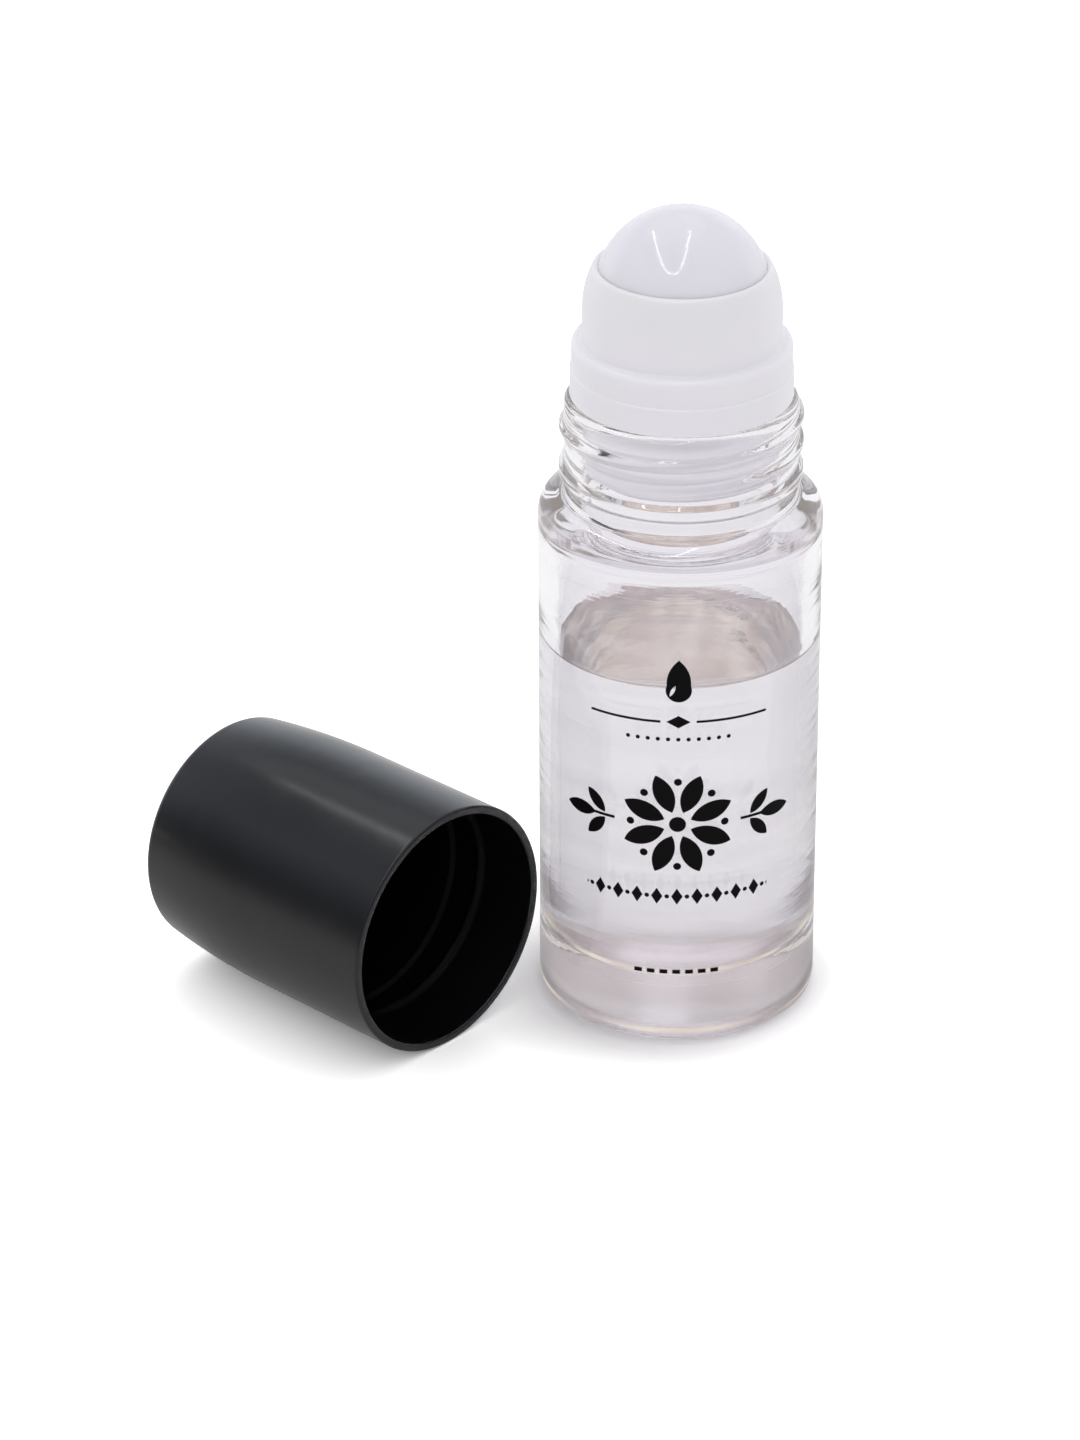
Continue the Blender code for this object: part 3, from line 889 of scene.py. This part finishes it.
# %% Turn the ball housing
BALL_RADIUS = (ball_high.z - ball_low.z) / 2
SOCKET_RADIUS = BALL_RADIUS + 0.15 * MM
SEAT = RIM_HEIGHT + 0.1 * MM
COLLAR_TOP = SEAT + 7.2 * MM
COLLAR_STEP = SEAT + 3.7 * MM
COLLAR_RADIUS = 13.6 * MM
COLLAR_INSET = 0.2 * MM
DOME_RADIUS = SOCKET_RADIUS + 1.25 * MM
DOME_CENTRE = BALL_HEIGHT - 1.9 * MM
LIP_ANGLE = math.asin(3.5 * MM / SOCKET_RADIUS)
LIP_OUTER_ANGLE = math.asin(5.4 * MM / DOME_RADIUS)
LIP_GAP = 0.012 * MM
LIP_BEND = 0.03
LIP_SWELL = 0.12 * MM
LIP_SHARES = (0.15, 0.4, 0.65, 0.88)
PLUG_RADIUS = 11.7 * MM
PLUG_BORE = 10.4 * MM
PLUG_BOTTOM = SEAT - 9 * MM
PLUG_CHAMFER = 0.6 * MM
WEB_HEIGHT = COLLAR_TOP - 1.2 * MM
CUP_RADIUS = SOCKET_RADIUS + 1.2 * MM
FEED_HOLE = 4 * MM
RIBS = 3
RIB_SPACING = 2.1 * MM
RIB_RISE = 0.25 * MM
RIB_HALF_WIDTH = 0.5 * MM
RIB_STEPS = 4
SOCKET_STEPS = 20
ARC_STEPS = 12

feed_edge = -math.acos(FEED_HOLE / SOCKET_RADIUS)
socket = arc(BALL_HEIGHT, SOCKET_RADIUS, feed_edge, LIP_ANGLE, SOCKET_STEPS)[:-2]
socket += arc(BALL_HEIGHT, BALL_RADIUS + LIP_GAP, LIP_ANGLE - LIP_BEND, LIP_ANGLE, 2)
dome = arc(DOME_CENTRE, DOME_RADIUS, LIP_OUTER_ANGLE, 0, ARC_STEPS)
lip = []
for share in LIP_SHARES:
    swell = Vector((0, LIP_SWELL * math.sin(math.pi * share)))
    lip.append(socket[-1].lerp(dome[0], share) + swell)
collar = rounded([
    (DOME_RADIUS, DOME_CENTRE, 0),
    (DOME_RADIUS, COLLAR_TOP, 0.5 * MM),
    (COLLAR_RADIUS - COLLAR_INSET, COLLAR_TOP, 0.8 * MM),
    (COLLAR_RADIUS - COLLAR_INSET, COLLAR_STEP, 0.1 * MM),
    (COLLAR_RADIUS, COLLAR_STEP - COLLAR_INSET, 0.1 * MM),
    (COLLAR_RADIUS, SEAT, 0.25 * MM),
    (PLUG_RADIUS, SEAT, 0.2 * MM),
])[1:]
ribs = []
for k in range(1, RIBS + 1):
    for step in range(-RIB_STEPS, RIB_STEPS + 1):
        share = step / RIB_STEPS
        crown = 0.5 + 0.5 * math.cos(math.pi * share)
        height = SEAT - RIB_SPACING * k - RIB_HALF_WIDTH * share
        ribs.append(Vector((PLUG_RADIUS + RIB_RISE * crown, height)))
plug_foot = [
    Vector((PLUG_RADIUS, PLUG_BOTTOM + PLUG_CHAMFER)),
    Vector((PLUG_RADIUS - PLUG_CHAMFER, PLUG_BOTTOM)),
    Vector((PLUG_BORE, PLUG_BOTTOM)),
    Vector((PLUG_BORE, WEB_HEIGHT)),
]
web_edge = -math.acos(PLUG_BORE / CUP_RADIUS)
cup_edge = -math.acos(FEED_HOLE / CUP_RADIUS)
cup = arc(BALL_HEIGHT, CUP_RADIUS, web_edge, cup_edge, ARC_STEPS)
outline = supported(socket + lip + dome + collar + ribs + plug_foot + cup, closed=True)
housing = turned("ball_housing", outline, housing_plastic, closed=True)
settle(housing, "roller_housing", "bottle")

# %% [markdown]
# The ball is a hollow moulding welded from two halves and then tumbled smooth, so it is very
# nearly perfect. Only a hair-fine weld line is left. It is turned like the rest, with that line as
# a shallow groove at its middle, and lies tilted in the socket. The finish is the same plastic,
# polished.

# %% Turn the ball
WELD_DEPTH = 0.02 * MM
WELD_WIDTH = 0.12 * MM
WELD_TILT = Matrix.Rotation(math.radians(35), 4, (1, 0.7, 0))
BALL_STEPS = 96

profile = []
for k in range(BALL_STEPS + 1):
    tilt = -math.pi / 2 + math.pi * k / BALL_STEPS
    radius = BALL_RADIUS - WELD_DEPTH * math.exp(-(BALL_RADIUS * tilt / WELD_WIDTH) ** 2)
    profile.append(Vector((radius * math.cos(tilt), radius * math.sin(tilt))))
profile[0].x = profile[-1].x = 0
ball = turned("rolling_ball", profile, ball_plastic)
ball.data.transform(WELD_TILT)
settle(ball, "roller_ball", "ball", place=ball_middle)

# %% [markdown]
# The cap is one black moulding with a satin skin. Its side narrows a little towards the closed
# end. Inside, near the mouth, runs the thread that fits the neck's, and on the ceiling stands the
# ring that presses on the ball. The black is never flat: the pressed surface has a very fine
# grain, faint turning marks round it and rubbed edges. The inside keeps the mould's dull skin,
# which mirrors little, and its black is painted a shade darker, as painted shade in the hollow, so
# it has a finish of its own.

# %% Make the cap's black plastic
BLACK_DEEP = (0.0045, 0.005, 0.0065)
BLACK_RUBBED = (0.008, 0.009, 0.0115)
BLACK_IOR = 1.5
SATIN_SCALE = 2600
RUB_SCALE = 70
SWELL_SCALE = 130
STREAK_SCALE = 400
STREAK_STRETCH = (0.05, 0.05, 1)
SATIN_ROUGH = 0.12
RUB_ROUGH = 0.14
STREAK_ROUGH = 0.03
GRAIN_SHARE = 0.25
STREAK_SHARE = 0.3
SWELL_SHARE = 7
SKIN_BUMP = 0.15
SKIN_DEPTH = 0.06 * MM

black = Finish("cap_plastic")
grain = black.noise(SATIN_SCALE, detail=2)
rub = black.noise(RUB_SCALE, detail=5)
swells = black.noise(SWELL_SCALE, detail=2)
streaks = black.noise(STREAK_SCALE, detail=2, at=black.stretched(STREAK_STRETCH))
skin = grain * GRAIN_SHARE + streaks * STREAK_SHARE + swells * SWELL_SHARE
black.shows(black.plastic(
    Base_Color=black.blend(rub, BLACK_DEEP, BLACK_RUBBED),
    Roughness=SATIN_ROUGH + RUB_ROUGH * rub + STREAK_ROUGH * streaks,
    IOR=BLACK_IOR,
    Normal=black.bump(skin, SKIN_BUMP, SKIN_DEPTH),
))
print("cap's skin uses", len(black.tree.nodes), "nodes")

# %% Make the dull finish inside the cap
# The inside's black is painted a shade darker than the outside's, as painted shade in the hollow.
INSIDE_SHADE_DEEP = (0.0015, 0.0015, 0.002)
INSIDE_SHADE_PALE = (0.003, 0.003, 0.0035)
DULL_GLOSS = 0.12
DULL_ROUGH = 0.4
MOULD_SCALE = 900
MOULD_ROUGH = 0.15
MOULD_BUMP = 0.2
MOULD_DEPTH = 0.05 * MM

matt = Finish("cap_inside")
mould_skin = matt.noise(MOULD_SCALE)
matt.shows(matt.plastic(
    Base_Color=matt.blend(mould_skin, INSIDE_SHADE_DEEP, INSIDE_SHADE_PALE),
    Roughness=DULL_ROUGH + MOULD_ROUGH * mould_skin,
    Specular_IOR_Level=DULL_GLOSS,
    Normal=matt.bump(mould_skin, MOULD_BUMP, MOULD_DEPTH),
))
print("dull finish uses", len(matt.tree.nodes), "nodes")

# %% [markdown]
# The cap is turned upright, with its mouth down, and then laid on its side. Its outline starts at
# the ceiling, with the press ring, comes down the bore to the mouth and goes up the outside. The
# faces inside take the dull finish.

# %% Turn the cap
cap_low, cap_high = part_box("screw_cap")
CAP_RADIUS = (cap_high.z - cap_low.z) / 2
CAP_LENGTH = cap_high.x - cap_low.x
CAP_STRAIGHT = 22 * MM
CAP_TAPER = 1.28 * MM
CAP_BORE = 15.15 * MM
CAP_BORE_DEPTH = 13.4 * MM
CAP_MOUTH = 1 * MM
CAP_INNER_WALL = 1.6 * MM
CAP_CEILING = CAP_LENGTH - 1.7 * MM
RING_INSIDE = 4.6 * MM
RING_OUTSIDE = 5.6 * MM
RING_TIP = 35.36 * MM
CAP_RIDGE_START = 7.25 * MM
CAP_RIDGE_TURNS = 1.25
CAP_RIDGE_WIDTH = 0.9 * MM
TAPER_STEPS = 16
NEAR = 0.05 * MM


def cap_side(height):
    """Radius of the side at a height above the mouth."""
    past = max(0, height - CAP_STRAIGHT) / (CAP_LENGTH - CAP_STRAIGHT)
    return CAP_RADIUS - CAP_TAPER * past ** 2


def taper_heights(top):
    return [CAP_STRAIGHT + (top - CAP_STRAIGHT) * k / TAPER_STEPS for k in range(TAPER_STEPS)]


def cap_shape(angle, radius, height):
    if abs(radius - CAP_BORE) < NEAR and height > CAP_MOUTH:
        radius -= ridge(angle, height, THREAD_START_ANGLE, CAP_RIDGE_START, CAP_RIDGE_TURNS,
                        THREAD_HEIGHT, CAP_RIDGE_WIDTH)
    return radius, height


inside = supported(rounded(
    [(0, CAP_CEILING, 0), (RING_INSIDE, CAP_CEILING, 0.3 * MM), (RING_INSIDE, RING_TIP, 0.2 * MM),
     (RING_OUTSIDE, RING_TIP, 0.2 * MM), (RING_OUTSIDE, CAP_CEILING, 0.3 * MM),
     (cap_side(CAP_CEILING) - CAP_INNER_WALL, CAP_CEILING, 0.8 * MM)]
    + [(cap_side(h) - CAP_INNER_WALL, h, 0) for h in reversed(taper_heights(CAP_CEILING))]
    + [(CAP_RADIUS - CAP_INNER_WALL, CAP_BORE_DEPTH + 0.5 * MM, 0), (CAP_BORE, CAP_BORE_DEPTH, 0)]
))
bore = wall_points(CAP_BORE, CAP_BORE_DEPTH, CAP_MOUTH)
outside = supported(rounded(
    [(CAP_BORE, CAP_MOUTH, 0), (CAP_BORE, 0, 0.35 * MM), (CAP_RADIUS, 0, 0.35 * MM)]
    + [(cap_side(h), h, 0) for h in taper_heights(CAP_LENGTH)]
    + [(cap_side(CAP_LENGTH), CAP_LENGTH, 1 * MM), (0, CAP_LENGTH, 0)]
))
cap = turned("cap_shell", inside + bore + outside, black.material,
             shape=cap_shape, steps=THREADED_STEPS)
cap.data.materials.append(matt.material)
for face in cap.data.polygons:
    x, y, height = face.center
    within = math.hypot(x, y) < CAP_BORE + NEAR
    if within and CAP_MOUTH / 2 < height < CAP_CEILING + 2 * NEAR:
        face.material_index = 1
cap_place = Vector((cap_high.x, (cap_low.y + cap_high.y) / 2, CAP_RADIUS))
settle(cap, "screw_cap", "cap", turn=(0, -math.pi / 2, 0), place=cap_place)

# %% [markdown]
# The label is a clear film wrapped over the front, with black ink on it. The film itself hardly
# shows: only its edge catches the light. The ink is drawn by shader maths in millimetres across
# and up the film, so it stays sharp at any size. The design is a plain ornament: a drop, rules, an
# eight-petalled flower with sprigs, and rows of beads.

# %% Draw the ornament as distances
FILM_RADIUS = 17.6
FILM_WIDTH = 34.6
FILM_LOW = 8.5
FILM_HIGH = 62.0
FILM_CORNER = 1.5
FILM_FACES = math.radians(-48.7)

film = Finish("printed_film")
place_x = film.node("ShaderNodeSeparateXYZ", inputs={"Vector": film.place()}, output="X")
place_y, place_z = (Signal(film, place_x.socket.node.outputs[name]) for name in ("Y", "Z"))
across = (place_y.math("ARCTAN2", place_y, place_x) - FILM_FACES) * FILM_RADIUS
up = place_z / MM


def length(dx, dy):
    return (dx * dx + dy * dy) ** 0.5


def disc(dx, dy, radius):
    """Above 0 inside a disc: how far inside, in millimetres."""
    return radius - length(dx, dy)


def bar(dx, dy, half_width, half_height):
    return (half_width - abs(dx)).low(half_height - abs(dy))


def leaf(dx, dy, half_width, half_length):
    """Two arcs that meet in points above and below."""
    radius = (half_length ** 2 + half_width ** 2) / (2 * half_width)
    return radius - length(abs(dx) + (radius - half_width), dy)


def lozenge(dx, dy, half_width, half_height):
    return (1 - abs(dx) / half_width - abs(dy) / half_height) * min(half_width, half_height)


def turned_by(dx, dy, degrees):
    """The same point in axes turned by an angle."""
    c, s = math.cos(math.radians(degrees)), math.sin(math.radians(degrees))
    return dx * c + dy * s, dy * c - dx * s


def beads(dx, spacing):
    """Distance to the nearest of a row of evenly spaced places."""
    return (dx + spacing / 2) % spacing - spacing / 2


DROP_UP = 51.2
RULE_UP = 45.8
DOTS_UP = 43.4
FLOWER_UP = 31.6
BEADS_UP = 21.4
FOOT_UP = 10.6

drop_up = up - DROP_UP
drop_tip = leaf(across, drop_up + 0.2, half_width=1.5, half_length=3.2)
drop = disc(across, drop_up + 1.1, radius=1.6).high(drop_tip.low(drop_up + 1.1))
glint_place = turned_by(across + 0.75, drop_up + 1.2, degrees=-25)
drop = drop.low(0 - leaf(*glint_place, half_width=0.22, half_length=0.8))

rule_up = up - RULE_UP
rules = bar(abs(across) - 6.8, rule_up, half_width=4.6, half_height=0.17)
rules = rules.high(lozenge(across, rule_up, half_width=1.5, half_height=0.85))
dots = disc(beads(across, spacing=1.25), up - DOTS_UP, radius=0.27).low(6.6 - abs(across))
print("drop, rules and dots drawn at", (DROP_UP, RULE_UP, DOTS_UP), "mm up")

# %% [markdown]
# The flower's eight petals are one petal. The angle round its middle is folded into an eighth of a
# turn, so that one leaf drawn there shows up eight times. The sprigs are mirrored by taking the
# distance from the middle line, and the rows repeat because the place along them is taken as a
# remainder.

# %% Draw the flower, the sprigs and the rows
flower_up = up - FLOWER_UP
far = length(across, flower_up)
petal_turn = abs(across.math("ARCTAN2", flower_up, across) % (math.pi / 4) - math.pi / 8)
between_turn = math.pi / 8 - petal_turn
aside, along = (far * far.math(kind, petal_turn) for kind in ("SINE", "COSINE"))
petals = leaf(aside, along - 4.5, half_width=1.25, half_length=2.75)
aside, along = (far * far.math(kind, between_turn) for kind in ("SINE", "COSINE"))
tips = disc(aside, along - 5.9, radius=0.5)
heart = disc(across, flower_up, radius=1.05)
flower = petals.high(tips).high(heart)

out = abs(across)
stem = bar(out - 9.6, flower_up, half_width=1.6, half_height=0.2)
end_leaf = leaf(flower_up, out - 13.0, half_width=0.95, half_length=2.3)
side_place = turned_by(out - 10.6, abs(flower_up) - 1.75, degrees=-42)
side_leaf = leaf(*side_place, half_width=0.8, half_length=1.9)
sprigs = stem.high(end_leaf).high(side_leaf)

beads_up = up - BEADS_UP
row = lozenge(beads(across, spacing=2.5), beads_up, half_width=0.72, half_height=1.15)
row = row.high(disc(beads(across + 1.25, spacing=2.5), beads_up, radius=0.3)).low(12.0 - out)
dashes = bar(beads(across, spacing=1.6), up - FOOT_UP, half_width=0.5, half_height=0.3)
dashes = dashes.low(5.5 - out)

design = drop.high(rules).high(dots).high(flower).high(sprigs).high(row).high(dashes)
print("ornament uses", len(film.tree.nodes), "nodes")

# %% [markdown]
# The film's finish puts ink where the design is above zero. Ink is opaque and a little raised. The
# bare film is almost fully transparent, with a faint frost, and its cut edge, which catches the
# light, is painted as a thin pale line, a painted highlight, which a rounded box measured in from
# the border gives.

# %% Make the film's finish
INK_EDGE = 0.05
EDGE_HIGHLIGHT_WIDTH = 0.2
BARE_FILM = (0.72, 0.70, 0.74)
INK_BLACK = (0.005, 0.0045, 0.005)
BARE_COVER = 0.05
PRESS_COVER = 0.03
EDGE_HIGHLIGHT_COVER = 0.28
FILM_GLOSS = 0.05
FILM_IOR = 1.48
FILM_ROUGH = 0.22
PRESS_SCALE = 900
PRESS_ROUGH = 0.12
PRESS_SHARE = 0.15
INK_ROUGH = 0.1
INK_BUMP = 0.3
INK_DEPTH = 0.02 * MM

ink = design.ramp(-INK_EDGE / 2, INK_EDGE / 2)
middle_up = up - (FILM_LOW + FILM_HIGH) / 2
inner_x = (out - (FILM_WIDTH / 2 - FILM_CORNER)).high(0)
inner_y = (abs(middle_up) - ((FILM_HIGH - FILM_LOW) / 2 - FILM_CORNER)).high(0)
from_edge = FILM_CORNER - length(inner_x, inner_y)
press = film.noise(PRESS_SCALE)
# The pale line along the border is a painted highlight, where the cut edge catches the light.
cover = BARE_COVER + PRESS_COVER * press + EDGE_HIGHLIGHT_COVER * from_edge.ramp(EDGE_HIGHLIGHT_WIDTH, 0)
film.shows(film.plastic(
    Base_Color=film.blend(ink, BARE_FILM, INK_BLACK),
    Specular_IOR_Level=FILM_GLOSS,
    Roughness=FILM_ROUGH + PRESS_ROUGH * press + INK_ROUGH * ink,
    Alpha=(cover + ink * (1 - cover)).clamped(),
    IOR=FILM_IOR,
    Normal=film.bump(ink + PRESS_SHARE * press, INK_BUMP, INK_DEPTH),
))
print("film finish uses", len(film.tree.nodes), "nodes")

# %% Make the finish of the film's back and edges
BACKING_DEEP = (0.8, 0.79, 0.83)
BACKING_PALE = (0.84, 0.83, 0.86)
BACKING_SCALE = 300
BACKING_ROUGH = 0.3
BACKING_SPREAD = 0.1
BACKING_COVER = 0.02

backing = Finish("film_backing")
backing_tone = backing.noise(BACKING_SCALE)
backing.shows(backing.plastic(
    Base_Color=backing.blend(backing_tone, BACKING_DEEP, BACKING_PALE),
    Roughness=BACKING_ROUGH + BACKING_SPREAD * backing_tone,
    Alpha=BACKING_COVER,
))
print("backing finish uses", len(backing.tree.nodes), "nodes")

# %% [markdown]
# The film is a thin curved strip with round corners, a hair outside the glass. Only its outer face
# carries the print. Its other faces have a plain, almost invisible finish of their own, so that
# the ink doesn't show twice.

# %% Wrap the film
FILM_INSIDE = 17.53 * MM
FILM_OUTSIDE = 17.62 * MM
FILM_COLUMNS = 72
CORNER_COLUMNS = 8


def film_columns():
    """Places across the film, closer together in its round corners."""
    turns = [math.pi / 2 * k / CORNER_COLUMNS for k in range(CORNER_COLUMNS)]
    corner = [FILM_CORNER * (1 - math.cos(turn)) for turn in turns]
    flat = FILM_WIDTH - 2 * FILM_CORNER
    middle = [FILM_CORNER + flat * k / FILM_COLUMNS for k in range(FILM_COLUMNS + 1)]
    return corner + middle + [FILM_WIDTH - s for s in reversed(corner)]


bm = bmesh.new()
columns = []
for s in film_columns():
    inset = max(0, FILM_CORNER - min(s, FILM_WIDTH - s))
    drop_down = FILM_CORNER - math.sqrt(FILM_CORNER ** 2 - inset ** 2)
    angle = FILM_FACES + (s - FILM_WIDTH / 2) / FILM_RADIUS
    low, high = (FILM_LOW + drop_down) * MM, (FILM_HIGH - drop_down) * MM
    corners = ((FILM_OUTSIDE, low), (FILM_OUTSIDE, high), (FILM_INSIDE, high), (FILM_INSIDE, low))
    x, y = math.cos(angle), math.sin(angle)
    columns.append([bm.verts.new((r * x, r * y, z)) for r, z in corners])
for left, right in zip(columns, columns[1:]):
    for i, j in ((0, 1), (1, 2), (2, 3), (3, 0)):
        face = bm.faces.new((left[i], right[i], right[j], left[j]))
        face.material_index = 0 if i == 0 else 1
for end in (columns[0], columns[-1]):
    bm.faces.new(end).material_index = 1
label = new_piece("printed_film", bm, film.material)
label.data.materials.append(backing.material)
settle(label, "label_film", "bottle")
